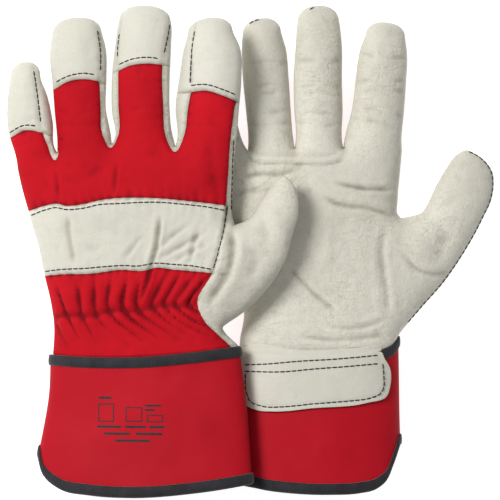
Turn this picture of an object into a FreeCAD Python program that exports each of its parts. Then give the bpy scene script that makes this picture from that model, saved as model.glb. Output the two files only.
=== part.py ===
"""A pair of rigger-style gardening gloves lying flat, in millimetres.

The right glove lies palm up on the surface.  The left glove lies back up, with its thumb side
resting on the right glove, so it is tilted about the Y axis.  +Y points to the fingertips and the
origin is under the middle of the pair.

Each glove is built in its own flat frame with the back of the hand towards +Z.  One tube of cross
sections runs from the cuff's hem to the knuckles, and each finger and thumb is a tube of its own.
Every tube is a hollow wall, and every leather, cotton or canvas panel is a region of that wall.
"""
import FreeCAD, Part
import math
import os
from collections import namedtuple

from FreeCAD import Vector

# ---------------------------------------------------------------- materials' thicknesses
WALL = 1.8            # leather or cotton wall of hand, fingers and cuff
STRAP_RAISE = 0.7     # how far the knuckle strap and the binding tapes stand proud of the wall
PATCH_RAISE = 1.2     # how far the pull patch stands proud of the cuff
LINING = 0.7          # cotton lining and elastic band, inside the wall
THREAD_RAISE = 0.5    # how far the seam thread stands proud of the leather that it holds
THREAD_WIDTH = 0.9
STITCH_INSET = 2.2    # from the strap's edge to its line of thread

# ---------------------------------------------------------------- general dimensions
JOINT_GAP = 0.25      # each side of a finger's or thumb's hinge plane
TAPE = 5.0            # width of the black binding tapes
TAPE_FOLD = 0.8       # thickness of the hem tape where it folds over the cuff's edge
ELASTIC_BAND = (-38.0, -31.0)
LINING_START = 6.0    # lining and elastic start this far from the cuff
LINING_STOP = 8.0     # and the lining stops this far short of the fingers
PATCH_DEPTH = 34.0    # how far the pull patch reaches down the cuff
PALM_DROP = 1.0       # the patch stays this far below the gloves' side seams
WEB = 1.5             # leather between the thumb and the index finger
FINGER_DOME = 12.0    # length of a fingertip's rounded end
DOME_TURNS = (60, 38, 20)
FINGER_MIDDLE = 0.45  # how far along a finger its middle width is
GUSSET_INSET = 4.0    # a gusset is the finger's side beyond this inset
FAR = 400.0           # larger than the object
SECTION_POINTS = 16

# A cross section: its two ends in plan, the height of its middle, half its thickness, and how
# square it is (2 is an ellipse).
Rib = namedtuple("Rib", "x0 y0 x1 y1 mid half square")

# base and tip in plan, widths at base, middle and near the tip, half thickness, length of the
# leather tip cap, and which sides carry a leather gusset (-1 little-finger side, 1 thumb side)
Finger = namedtuple("Finger", "base tip widths half cap gussets")

# The thumb is a tube along +Y in its own frame: turn is its lean in degrees anticlockwise, root the
# place of its frame's origin, hinge the two ends in plan of the plane where it leaves the hand.
Thumb = namedtuple("Thumb", "root turn hinge ribs")

Glove = namedtuple(
    "Glove",
    "palm_up tilt pivot_x height finger_mid fingers thumb ribs "
    "strap_top strap_bottom cuff_top hem patch",
)


def thumb_rib(at, start, end, half):
    return Rib(start, at, end, at, 0.0, half, 2.2)


LEFT = Glove(
    palm_up=False,
    tilt=11.0,
    pivot_x=-66.0,
    height=25.8,
    finger_mid=0.0,
    fingers={
        "little": Finger((-119.4, 59.6), (-123.6, 104.3), (24.0, 24.6, 19.0), 9.0, 39.0, (1,)),
        "ring": Finger((-92.2, 65.1), (-94.9, 128.1), (27.6, 29.0, 27.0), 9.5, 36.5, (-1, 1)),
        "middle": Finger((-61.0, 65.1), (-58.0, 134.7), (30.4, 31.0, 29.0), 9.5, 34.0, (-1, 1)),
        "index": Finger((-25.0, 63.5), (-20.4, 127.0), (34.0, 33.0, 29.0), 9.5, 42.5, (-1,)),
    },
    thumb=Thumb(
        root=(-14.0, -12.0),
        turn=-32.0,
        hinge=((-7.6, 15.5), (-20.6, -39.0)),
        ribs=[
            thumb_rib(-28.0, -4.0, 14.5, 8.0),
            thumb_rib(-14.0, -8.0, 19.5, 11.0),
            thumb_rib(0.0, -12.0, 24.0, 12.5),
            thumb_rib(12.0, -13.0, 25.4, 12.5),
            thumb_rib(24.0, -10.5, 24.6, 11.5),
            thumb_rib(32.0, -4.5, 22.8, 10.5),
            thumb_rib(41.0, -3.6, 20.0, 10.0),
            thumb_rib(50.0, -3.2, 16.5, 9.0),
            thumb_rib(57.0, -1.5, 11.5, 6.5),
            thumb_rib(61.0, 1.5, 6.5, 3.0),
        ],
    ),
    ribs=[
        Rib(-118.5, -139.0, 2.0, -139.0, 0.0, 14.0, 2.3),
        Rib(-117.0, -113.0, 0.0, -118.0, 0.0, 14.0, 2.3),
        Rib(-113.7, -88.0, -2.8, -84.0, 0.0, 14.0, 2.3),
        Rib(-110.4, -58.5, -5.5, -53.5, 0.0, 13.5, 2.3),
        Rib(-108.5, -44.0, -15.5, -44.0, 0.0, 13.0, 2.2),
        Rib(-109.3, -33.0, -10.0, -33.0, 0.0, 13.0, 2.2),
        Rib(-111.5, -22.0, 1.0, -22.0, 0.0, 13.5, 2.2),
        Rib(-115.4, -5.5, 6.0, -5.5, 0.0, 14.0, 2.2),
        Rib(-119.6, 10.0, 3.0, 10.0, 0.0, 14.0, 2.3),
        Rib(-124.2, 27.6, -8.5, 27.6, 0.0, 13.5, 2.4),
        Rib(-129.0, 46.0, -8.3, 46.0, 0.0, 12.0, 2.8),
        Rib(-132.3, 62.0, -7.4, 62.0, 0.0, 10.5, 3.2),
        Rib(-133.0, 72.0, -7.0, 72.0, 0.0, 10.0, 3.2),
    ],
    strap_top=((-124.0, 20.0), (-62.0, 28.0), (-8.0, 22.5)),
    strap_bottom=((-116.0, -15.5), (-62.0, -10.0), (-10.0, -13.5)),
    cuff_top=((-110.4, -58.5), (-60.0, -61.0), (-5.5, -53.5)),
    hem=((-118.0, -113.0), (-104.0, -129.5), (-60.0, -135.0), (-27.0, -131.5), (3.0, -125.0)),
    patch=(-100.0, -22.0),
)

RIGHT = Glove(
    palm_up=True,
    tilt=0.0,
    pivot_x=0.0,
    height=15.8,
    finger_mid=2.5,
    fingers={
        "little": Finger((-14.4, 56.3), (-23.7, 101.6), (23.4, 24.0, 19.0), 9.0, 36.0, (1,)),
        "ring": Finger((10.8, 67.3), (6.6, 128.1), (25.0, 26.0, 24.5), 9.5, 35.0, (-1, 1)),
        "middle": Finger((38.4, 67.3), (38.1, 135.2), (26.0, 26.6, 25.0), 9.5, 34.0, (-1, 1)),
        "index": Finger((69.8, 67.3), (74.0, 126.4), (29.4, 28.0, 25.0), 9.5, 39.0, (-1,)),
    },
    thumb=Thumb(
        root=(82.8, -14.0),
        turn=-25.8,
        hinge=((82.8, 20.0), (82.8, -47.5)),
        ribs=[
            thumb_rib(-38.0, -10.0, 11.5, 8.0),
            thumb_rib(-20.0, -14.0, 16.0, 11.5),
            thumb_rib(0.0, -16.0, 22.0, 13.0),
            thumb_rib(20.0, -16.0, 26.0, 13.0),
            thumb_rib(30.0, -13.0, 27.2, 12.0),
            thumb_rib(38.0, -5.0, 27.7, 11.0),
            thumb_rib(47.0, -3.2, 27.7, 10.5),
            thumb_rib(58.0, -2.8, 27.5, 10.0),
            thumb_rib(68.0, -1.5, 24.8, 9.0),
            thumb_rib(75.0, 2.0, 19.5, 6.0),
            thumb_rib(78.0, 6.0, 14.0, 3.0),
        ],
    ),
    ribs=[
        Rib(-12.0, -140.0, 83.5, -140.0, -2.2, 17.0, 2.2),
        Rib(-11.0, -113.0, 83.0, -113.0, -2.2, 17.0, 2.2),
        Rib(-9.0, -85.0, 82.8, -85.0, -2.2, 17.0, 2.2),
        Rib(-5.5, -57.0, 81.8, -57.0, -1.6, 16.0, 2.2),
        Rib(-4.4, -47.0, 84.5, -47.0, -1.0, 15.0, 2.2),
        Rib(-3.6, -33.0, 97.0, -33.0, 0.0, 14.0, 2.2),
        Rib(-6.0, -16.6, 106.0, -16.6, 0.0, 14.0, 2.2),
        Rib(-10.0, 0.0, 109.0, 0.0, 0.0, 14.0, 2.2),
        Rib(-13.5, 14.0, 98.0, 14.0, 0.0, 14.0, 2.3),
        Rib(-17.5, 30.0, 82.0, 30.0, 0.0, 13.5, 2.4),
        Rib(-21.5, 44.2, 82.8, 44.2, 1.0, 12.5, 2.7),
        Rib(-27.0, 60.7, 84.5, 60.7, 2.3, 10.5, 3.2),
        Rib(-28.5, 73.0, 85.0, 73.0, 2.5, 10.0, 3.2),
    ],
    strap_top=((-18.0, 22.5), (34.0, 28.0), (84.0, 22.5)),
    strap_bottom=((-9.0, -15.5), (38.0, -10.0), (84.0, -13.5)),
    cuff_top=((-5.0, -61.5), (38.0, -60.0), (82.5, -56.0)),
    hem=((-13.0, -118.0), (8.0, -131.0), (38.0, -134.0), (70.0, -131.0), (84.0, -112.0)),
    patch=(-3.5, 75.5),
)

GLOVES = {"left": LEFT, "right": RIGHT}


# ---------------------------------------------------------------- tubes
def superellipse(angle, square):
    """A point on a unit superellipse."""
    c, s = math.cos(angle), math.sin(angle)
    power = 2.0 / square
    return math.copysign(abs(c) ** power, c), math.copysign(abs(s) ** power, s)


def section(rib, inset):
    """The closed curve of one cross section, offset inwards by inset."""
    end, start = Vector(rib.x1, rib.y1, 0), Vector(rib.x0, rib.y0, 0)
    centre = (start + end) * 0.5
    across = end - start
    half_width = across.Length / 2 - inset
    across.normalize()
    points = []
    for i in range(SECTION_POINTS):
        u, v = superellipse(2 * math.pi * i / SECTION_POINTS, rib.square)
        height = Vector(0, 0, rib.mid + (rib.half - inset) * v)
        points.append(centre + across * (half_width * u) + height)
    curve = Part.BSplineCurve()
    curve.interpolate(Points=points, PeriodicFlag=True)
    return Part.Wire([curve.toShape()])


def tube(ribs, inset=0.0):
    """A solid through the cross sections."""
    return Part.makeLoft([section(rib, inset) for rib in ribs], True, True)


def block(x0, x1, y0, y1, z0, z1):
    return Part.makeBox(x1 - x0, y1 - y0, z1 - z0, Vector(x0, y0, z0))


def prism(points):
    """A tall solid over a closed polygon in plan."""
    wire = Part.makePolygon([Vector(x, y, -FAR) for x, y in points + points[:1]])
    return Part.Face(wire).extrude(Vector(0, 0, 2 * FAR))


def below_curve(points, shift=0.0):
    """A tall solid on the wrist side of a smooth curve through the points, moved by shift in Y."""
    points = [Vector(x, y + shift, -FAR) for x, y in points]
    first, last = points[0], points[-1]
    curve = Part.BSplineCurve()
    curve.interpolate(Points=points)
    outside_left = Vector(first.x - FAR, first.y, -FAR)
    outside_right = Vector(last.x + FAR, last.y, -FAR)
    corners = [
        last,
        outside_right,
        Vector(outside_right.x, -FAR, -FAR),
        Vector(outside_left.x, -FAR, -FAR),
        outside_left,
        first,
    ]
    edges = [curve.toShape()]
    edges += [Part.makeLine(a, b) for a, b in zip(corners, corners[1:])]
    return Part.Face(Part.Wire(edges)).extrude(Vector(0, 0, 2 * FAR))


BACK_SIDE = block(-FAR, FAR, -FAR, FAR, 0, FAR)
PALM_SIDE = block(-FAR, FAR, -FAR, FAR, -FAR, 0)


# ---------------------------------------------------------------- fingers
def finger_length(finger):
    return math.dist(finger.base, finger.tip)


def finger_angle(finger):
    """The finger's lean, in degrees anticlockwise from +Y."""
    dx, dy = finger.tip[0] - finger.base[0], finger.tip[1] - finger.base[1]
    return math.degrees(math.atan2(-dx, dy))


def finger_ribs(finger, start, inset=0.0):
    """Cross sections along +Y from the hinge plane at Y = 0, closed by a dome."""
    length = finger_length(finger) - inset
    base, middle, near_tip = (w / 2 for w in finger.widths)
    ribs = []
    for at, half_width in ((start, base), (length * FINGER_MIDDLE, middle), (length - FINGER_DOME, near_tip)):
        ribs.append(Rib(-half_width, at, half_width, at, 0.0, finger.half, 2.5))
    for degrees in DOME_TURNS:
        turn = math.radians(degrees)
        at = length - FINGER_DOME * (1 - math.cos(turn))
        half_width, half = near_tip * math.sin(turn), finger.half * math.sin(turn)
        ribs.append(Rib(-half_width, at, half_width, at, 0.0, half, 2.3))
    return ribs


def finger_panels(finger):
    """Front, back, tip cap and gussets of one finger, in its own frame."""
    outer = tube(finger_ribs(finger, JOINT_GAP))
    inner = tube(finger_ribs(finger, -2.0, WALL), WALL)
    wall = outer.cut(inner)
    edge = min(finger.widths[0], finger.widths[1]) / 2 - GUSSET_INSET
    cap_start = finger_length(finger) - finger.cap
    sides = {
        -1: block(-FAR, -edge, -FAR, FAR, -FAR, FAR),
        1: block(edge, FAR, -FAR, FAR, -FAR, FAR),
    }
    gussets = [wall.common(sides[side]) for side in finger.gussets]
    face = wall
    for side in finger.gussets:
        face = face.cut(sides[side])
    top = face.common(BACK_SIDE)
    cap_region = block(-FAR, FAR, cap_start, FAR, -FAR, FAR)
    return {
        "front": face.common(PALM_SIDE),
        "back": top.cut(cap_region),
        "tip_cap": top.common(cap_region),
        "gusset": Part.makeCompound([s for g in gussets for s in g.Solids]),
    }


def stand(shape, place, turn, height=0.0):
    """From a tube's own frame to its place on the glove."""
    shape = shape.copy()
    shape.rotate(Vector(0, 0, 0), Vector(0, 0, 1), turn)
    shape.translate(Vector(place[0], place[1], height))
    return shape


def thumb_panels(glove):
    """Palm-side and back-side leather of the thumb, cut off square at its hinge plane."""
    thumb = glove.thumb
    wall = tube(thumb.ribs).cut(tube(thumb.ribs[:-1], WALL))
    wall = stand(wall, thumb.root, thumb.turn).common(beyond_hinge(thumb.hinge, JOINT_GAP))
    return {"thumb_front": wall.common(PALM_SIDE), "thumb_back": wall.common(BACK_SIDE)}


def beyond_hinge(hinge, gap):
    """The thumb's side of the hinge, in plan: gap away from its plane and past its lower end."""
    top, low = Vector(*hinge[0], 0), Vector(*hinge[1], 0)
    along = (top - low).normalize()
    outward = Vector(along.y, -along.x, 0)
    corner = low + (outward + along) * gap
    corners = [corner, corner + along * FAR, corner + (along + outward) * FAR, corner + outward * FAR]
    return prism([(c.x, c.y) for c in corners])


# ---------------------------------------------------------------- hand and cuff
def knuckle_line(glove):
    """Points in plan, little finger to index, where the hand ends and the fingers begin."""
    line = []
    for finger in glove.fingers.values():
        angle = math.radians(finger_angle(finger))
        half_width = finger.widths[0] / 2 + 0.2
        x = finger.base[0] + JOINT_GAP * math.sin(angle)
        y = finger.base[1] - JOINT_GAP * math.cos(angle)
        for side in (-1, 1):
            line.append((x + side * half_width * math.cos(angle), y + side * half_width * math.sin(angle)))
    return line


def hand_region(glove):
    """The hand in plan: up to the knuckle line, and in to the thumb's hinge plane."""
    line = knuckle_line(glove)
    crotch_x, crotch_y = glove.thumb.hinge[0][0] + WEB, glove.thumb.hinge[0][1] + 2 * WEB
    lower = [(-FAR, -FAR), (-FAR, crotch_y), (crotch_x, crotch_y), (FAR, crotch_y), (FAR, -FAR)]
    upper = [(-FAR, crotch_y), (-FAR, line[0][1])] + line
    upper += [(line[-1][0] + WEB, line[-1][1]), (crotch_x, crotch_y)]
    return prism(lower).cut(beyond_hinge(glove.thumb.hinge, -JOINT_GAP)).fuse(prism(upper))


def hand_panels(glove):
    """Leather, cotton and canvas panels of the hand and the cuff."""
    skins = {raise_: tube(glove.ribs, -raise_) for raise_ in (0.0, STRAP_RAISE, PATCH_RAISE)}
    hollow = tube(glove.ribs, WALL)
    wall = skins[0.0].cut(hollow)
    lining_wall = hollow.cut(tube(glove.ribs, WALL + LINING))

    hand = hand_region(glove)
    cuff_below = below_curve(glove.cuff_top)
    hem_below = below_curve(glove.hem)
    strap_below = below_curve(glove.strap_top)
    wrist_below = below_curve(glove.strap_bottom)

    hand_wall = wall.common(hand).cut(cuff_below)
    back = hand_wall.common(BACK_SIDE)
    strap_wall = skins[STRAP_RAISE].cut(hollow).common(hand).common(BACK_SIDE)

    raised = skins[STRAP_RAISE].cut(skins[0.0])
    patch_below = below_curve(glove.cuff_top, -PATCH_DEPTH)
    patch_column = block(*glove.patch, -FAR, FAR, -FAR, -PALM_DROP)
    patch = skins[PATCH_RAISE].cut(skins[0.0]).common(patch_column).common(cuff_below).cut(patch_below)
    top_tape_end = below_curve(glove.cuff_top, -TAPE)
    top_tape = raised.common(cuff_below).cut(top_tape_end).cut(patch_column)

    cuff = wall.common(cuff_below).cut(hem_below)
    hem_start = below_curve(glove.hem, TAPE - TAPE_FOLD)
    hem_end = below_curve(glove.hem, -TAPE_FOLD)
    thick = skins[STRAP_RAISE].cut(tube(glove.ribs, WALL + STRAP_RAISE))
    hem_tape = thick.common(hem_start).cut(hem_end).cut(cuff)

    inside = hand.cut(below_curve(glove.cuff_top, LINING_START))
    band = block(-FAR, FAR, *ELASTIC_BAND, 0, FAR)
    lining_end = min(y for _, y in knuckle_line(glove)) - LINING_STOP
    lining_zone = block(-FAR, FAR, -FAR, lining_end, -FAR, -LINING / 2)
    return {
        "palm": hand_wall.common(PALM_SIDE),
        "back_panel": back.cut(strap_below),
        "knuckle_strap": strap_wall.common(strap_below).cut(wrist_below),
        "wrist_panel": back.common(wrist_below),
        "wrist_elastic": lining_wall.common(inside).common(band),
        "palm_lining": lining_wall.common(inside).common(lining_zone),
        "cuff": cuff,
        "cuff_top_tape": top_tape,
        "cuff_hem_tape": hem_tape,
        "pull_patch": patch,
        "seam_thread": seam_thread(glove, skins[STRAP_RAISE], hand),
    }


def seam_thread(glove, strap_skin, hand):
    """The lines of lockstitch that hold the knuckle strap, one solid for each line."""
    skin = tube(glove.ribs, -STRAP_RAISE - THREAD_RAISE).cut(strap_skin).common(hand).common(BACK_SIDE)
    lines = []
    for curve, inset in ((glove.strap_top, -STITCH_INSET), (glove.strap_bottom, STITCH_INSET + THREAD_WIDTH)):
        band = below_curve(curve, inset).cut(below_curve(curve, inset - THREAD_WIDTH))
        lines += skin.common(band).Solids
    return Part.makeCompound(lines)


# ---------------------------------------------------------------- placing
def place_glove(shape, glove):
    """From the glove's flat frame, with its back towards +Z, to where it lies in the pair."""
    if glove.palm_up:
        shape = shape.mirror(Vector(0, 0, 0), Vector(0, 0, 1))
    else:
        shape = shape.copy()
    shape.rotate(Vector(glove.pivot_x, 0, 0), Vector(0, 1, 0), -glove.tilt)
    shape.translate(Vector(0, 0, glove.height))
    return shape


def glove_nodes(glove):
    """Every panel of one glove, where it lies in the pair."""
    nodes = dict(hand_panels(glove))
    nodes.update(thumb_panels(glove))
    for name, finger in glove.fingers.items():
        for panel, shape in finger_panels(finger).items():
            nodes[f"{name}_{panel}"] = stand(shape, finger.base, finger_angle(finger), glove.finger_mid)
    return {name: place_glove(shape, glove) for name, shape in nodes.items()}


def main():
    os.makedirs("parts", exist_ok=True)
    for side, glove in GLOVES.items():
        for name, shape in glove_nodes(glove).items():
            Part.makeCompound(shape.Solids).exportStep(f"parts/{side}_{name}.step")
            print(f"{side}_{name}: {len(shape.Solids)} solids, valid {shape.isValid()}")


if __name__ == "__main__":
    main()
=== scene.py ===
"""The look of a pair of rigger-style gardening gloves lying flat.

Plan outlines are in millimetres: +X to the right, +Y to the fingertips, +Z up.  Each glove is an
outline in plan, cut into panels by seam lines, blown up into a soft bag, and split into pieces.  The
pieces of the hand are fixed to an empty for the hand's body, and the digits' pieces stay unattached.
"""
import math
from collections import namedtuple

import bmesh
import bpy
import numpy as np
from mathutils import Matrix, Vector, kdtree, noise
from mathutils.bvhtree import BVHTree
from mathutils.geometry import delaunay_2d_cdt


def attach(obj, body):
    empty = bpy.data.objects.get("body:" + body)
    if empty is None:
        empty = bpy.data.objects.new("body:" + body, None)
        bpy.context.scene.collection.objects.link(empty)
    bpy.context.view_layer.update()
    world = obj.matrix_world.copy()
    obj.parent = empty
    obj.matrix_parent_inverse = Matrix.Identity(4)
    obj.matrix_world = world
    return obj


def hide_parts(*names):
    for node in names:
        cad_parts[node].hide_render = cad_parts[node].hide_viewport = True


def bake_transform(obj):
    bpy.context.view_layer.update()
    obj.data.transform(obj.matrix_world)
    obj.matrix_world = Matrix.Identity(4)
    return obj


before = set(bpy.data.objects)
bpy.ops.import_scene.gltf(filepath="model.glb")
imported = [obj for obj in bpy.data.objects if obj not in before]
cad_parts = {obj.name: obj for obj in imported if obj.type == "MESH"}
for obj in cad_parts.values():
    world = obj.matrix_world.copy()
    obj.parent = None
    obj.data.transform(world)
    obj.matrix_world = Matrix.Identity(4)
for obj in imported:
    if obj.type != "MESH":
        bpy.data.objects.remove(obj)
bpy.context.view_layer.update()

MM = 0.001
STEP = 1.25           # spacing of points over a glove's skin
SKIN = 1.2            # thickness of leather and cotton
RISE = 0.75           # how far a sewn-on panel stands proud
SOFTNESS = 15.0       # how far from its edge a glove reaches its full height

# ---- plan shapes
# A digit's centre line from crotch to tip as (x, y, half width), the point of its tip, and the lower
# edge of the leather cap on its back.
Digit = namedtuple("Digit", "stations tip cap")

LEFT_DIGITS = {
    "little": Digit([(-118.3, 52.4, 11.4), (-121.7, 69, 12.7), (-123.6, 85.6, 11), (-124.6, 95, 8.6)],
                    (-124.3, 104.3),
                    [(-138, 60.4), (-132.3, 62.6), (-124.8, 66), (-115.1, 64.9), (-104, 61)]),
    "ring": Digit([(-91.6, 60.7, 15.1), (-93.8, 77.3, 14.3), (-94.3, 94, 15.1), (-95.2, 110.4, 15.6),
                   (-95.6, 118.7, 14)], (-96, 128.6),
                  [(-113, 87), (-107.2, 89.4), (-100.1, 92.9), (-91.4, 94), (-83, 92.7), (-76, 90)]),
    "middle": Digit([(-58.8, 62.8, 16), (-60.2, 77.3, 16), (-60.2, 94, 16), (-58.8, 113, 15.4),
                     (-57.9, 125, 14.6)], (-57.7, 134.7),
                    [(-80, 96.4), (-72.9, 98.6), (-65.8, 101.3), (-56.1, 102.3), (-47.8, 101.5),
                     (-40, 100)]),
    "index": Digit([(-23.7, 60.7, 16.3), (-23.5, 77.3, 17.4), (-21.7, 94, 17), (-21, 110.4, 15.4),
                    (-21.8, 118.7, 12.6)], (-22.4, 127.5),
                   [(-44, 86), (-32.8, 86.5), (-24.4, 87.1), (-14.7, 84.3), (-6.8, 81.2), (0, 78)]),
}
RIGHT_DIGITS = {
    "little": Digit([(-14.9, 52.4, 13.4), (-20.1, 69, 12.8), (-24, 85.6, 10.8), (-25.2, 93.5, 8.4)],
                    (-25.9, 101.6), [(-36, 60), (-18, 64), (0, 68)]),
    "ring": Digit([(11.5, 60.7, 12.5), (10.2, 77.3, 12.4), (8.8, 94, 12.7), (7.6, 110.4, 12.3),
                   (6.6, 118.7, 11)], (6.1, 128.6), [(-8, 92), (9, 95), (26, 93)]),
    "middle": Digit([(38.2, 60.7, 12.8), (38, 77.3, 13.4), (37.6, 94, 13.4), (38.2, 113, 12.8),
                     (37.9, 125, 11.8)], (37.8, 135.6), [(20, 99), (38, 101.5), (56, 100)]),
    "index": Digit([(68.6, 62.5, 15.6), (71, 77.3, 14.4), (72.6, 94, 14), (74.2, 110.4, 13),
                    (75, 118, 11.2)], (75.6, 126.3), [(54, 89), (72, 92), (91, 88)]),
}

# A glove's edge goes up the hand, round the digits between the crotches, and down the web, thumb and
# wrist.  mid and thickness give the height of its middle and how far each side stands from that.  The
# seams are the strap's, the wrist's, the webs' between the fingers and the one beside the index finger.
# A seed is a place inside a panel.  A crease is a line in plan, its depth and its width.
Glove = namedtuple(
    "Glove",
    "side back_up digits crotches hand_edge web thumb wrist thumb_split mid thickness "
    "strap_top strap_bottom wrist_edge webs side_seam seeds creases cuff patch",
)
# half is half of a cuff's thickness and square says how boxy its section is.  A dimple is its place,
# width and depth.
Cuff = namedtuple("Cuff", "left right top hem mid half square dimples")


def ramp_up(value, start, length):
    """0 up to the start, rising evenly to 1 over the length."""
    return np.clip((value - start) / length, 0, 1)


def tilted(x):
    """Height of the left glove's middle, which leans on the right glove."""
    return 25.0 + 0.1944 * (x + 66.0)


LEFT = Glove(
    side="left",
    back_up=True,
    digits=LEFT_DIGITS,
    crotches=[(-128.6, 44), (-106.6, 54), (-76.2, 58.4), (-40.9, 57), (-8.2, 55)],
    hand_edge=[(-109.8, -63), (-108.6, -52), (-108.4, -42), (-110, -30), (-113.8, -13.8), (-117.3, 3),
               (-122, 19), (-126.3, 34), (-128.6, 44)],
    web=[(-8.2, 55), (-9.1, 44), (-9.5, 32), (-9.8, 19), (-8.3, 13.8)],
    thumb=[(-8.3, 13.8), (-3.4, 15.4), (0.6, 18.2), (5, 25.4), (9, 31), (13.2, 36.6), (18.8, 40.3),
           (23.2, 36.4), (26, 29.4), (26.4, 20.5), (23.7, 9.9), (19.9, -3.9), (12.7, -17.1),
           (5, -26.5), (-4, -34.5), (-12.5, -40.3)],
    wrist=[(-12.5, -40.3), (-15, -42.6), (-13.4, -45.6), (-9.6, -49.4), (-6, -53), (-5.8, -62)],
    thumb_split=[(-4, 22), (-6.2, 10), (-10.6, -12), (-13.4, -30), (-13.4, -48)],
    mid=lambda x, y: tilted(x) - 1.5 * ramp_up(y, 60.0, 60.0),
    thickness=lambda x, y: 14.6 + 2.0 * ramp_up(y, 55.0, 20.0) - 1.2 * ramp_up(-y, 20.0, 30.0),
    strap_top=[(-126, 20.4), (-111.6, 24.7), (-106.8, 25.5), (-101, 24.2), (-92.2, 25.1),
               (-81.7, 27.4), (-53.5, 28.4), (-29.7, 26.3), (-12.7, 24.3), (-2, 23)],
    strap_bottom=[(-118, -14.9), (-103, -13.4), (-88.7, -13.1), (-71, -10.9), (-56.3, -11),
                  (-53, -9.9), (-42.1, -10.7), (-21, -12.6), (-14, -13.4)],
    wrist_edge=[(-12.1, 24.6), (-14.6, 10), (-17.6, -2), (-21, -13.2), (-28.7, -28.7), (-25, -38.6),
                (-17, -46.5), (-9.9, -53.5), (-9, -66)],
    webs=[
        [(-120.6, 104), (-119.2, 96), (-117.2, 84), (-115.4, 68), (-111.8, 58.4), (-107.4, 49.8),
         (-106.1, 52.6), (-107, 57), (-107.9, 66), (-109.4, 77), (-110.5, 90), (-112, 112)],
        [(-86.1, 125), (-83, 118.7), (-82.4, 108), (-82.6, 93), (-81.7, 76.4), (-80.6, 63.2),
         (-76.6, 56.4), (-73.3, 62), (-72.8, 80), (-72.8, 98.4), (-72.6, 112), (-70.6, 126)],
        [(-43.6, 129), (-44.7, 120.4), (-46.6, 111), (-47.7, 101.5), (-47.1, 76.4), (-45.8, 62.4),
         (-41.2, 53.9), (-36.8, 62.4), (-34.6, 76.4), (-32.8, 87), (-31.5, 111.6), (-29.6, 124)],
    ],
    side_seam=[(-4.4, 84), (-7.2, 80), (-8.6, 72), (-11.2, 50), (-12.2, 32), (-12.6, 21)],
    seeds={"palm": [(-16, -8), (-10.6, 40)], "knuckle_strap": [(-60, 8)], "wrist_panel": [(-70, -25)],
           "thumb": [(12, 8)]},
    creases=[
        ([(-49.1, 19.5), (-50, 9.6), (-51.3, 0.8), (-53.5, -7.1), (-57, -19.5), (-61.4, -31)], 1.5, 1.2),
        ([(-27, 14), (-30.6, 3.4), (-33.2, -10)], 0.8, 1.3),
        ([(-52, -2), (-42, 8), (-31, 15)], 0.5, 1.3),
        ([(-51.5, -6), (-38, 2), (-22, 11)], 0.6, 1.2),
        ([(-44, -7.5), (-34, -2), (-21, 4)], 0.5, 1.2),
        ([(-70.5, -7), (-65, 0), (-58.5, 9)], 0.5, 1.3),
        ([(-100, 22), (-99.3, 7.8), (-95.7, -10.7)], 0.7, 1.8),
        ([(-103.5, 20), (-101.5, 4)], 0.3, 2),
        ([(-107, 46), (-105.5, 25.5)], 0.6, 1.2),
        ([(-72.9, 50), (-75, 27.5)], 0.6, 1.2),
        ([(-92, 38), (-84, 45), (-80, 52)], 0.4, 3.5),
        ([(-52, 46), (-44, 38)], 0.35, 3.5),
        ([(-24, 60), (-20, 40), (-19, 28)], 0.5, 3),
        ([(-10.8, 12), (-9.6, 2), (-11.5, -10), (-18, -22), (-24, -30)], 1.3, 2.6),
        ([(3, 18), (8, 4), (6, -10)], 0.9, 5),
        ([(12, 24), (19, 15)], 0.5, 3),
        ([(-3, 6), (2, -6), (-2, -19)], 0.8, 4),
    ],
    cuff=Cuff(
        left=[(-110.4, -56), (-111.3, -80), (-115, -102), (-117.4, -114), (-118.4, -128)],
        right=[(-6, -51), (-4.4, -64), (-1.7, -86), (0.2, -110), (1.4, -128)],
        top=[(-111, -58.6), (-90, -59.6), (-60, -59.4), (-30, -56.6), (-5.6, -53.4)],
        hem=[(-117.2, -112.8), (-113.6, -124), (-104.9, -130.6), (-88, -133.6), (-66.2, -134.6),
             (-27.6, -131.4), (1.4, -126.8)],
        mid=lambda x, y: tilted(x),
        half=13.4,
        square=2.3,
        dimples=[(-28, -70, 11, 1.6), (-42, -66, 7, 1), (-70, -70, 12, 0.8), (-92, -95, 14, 0.8),
                 (-16, -104, 12, 1)],
    ),
    patch=[(-100, -63), (-60, -64), (-22, -61), (-19, -80), (-24, -84), (-60, -88), (-96, -85),
           (-101, -80)],
)

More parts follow.
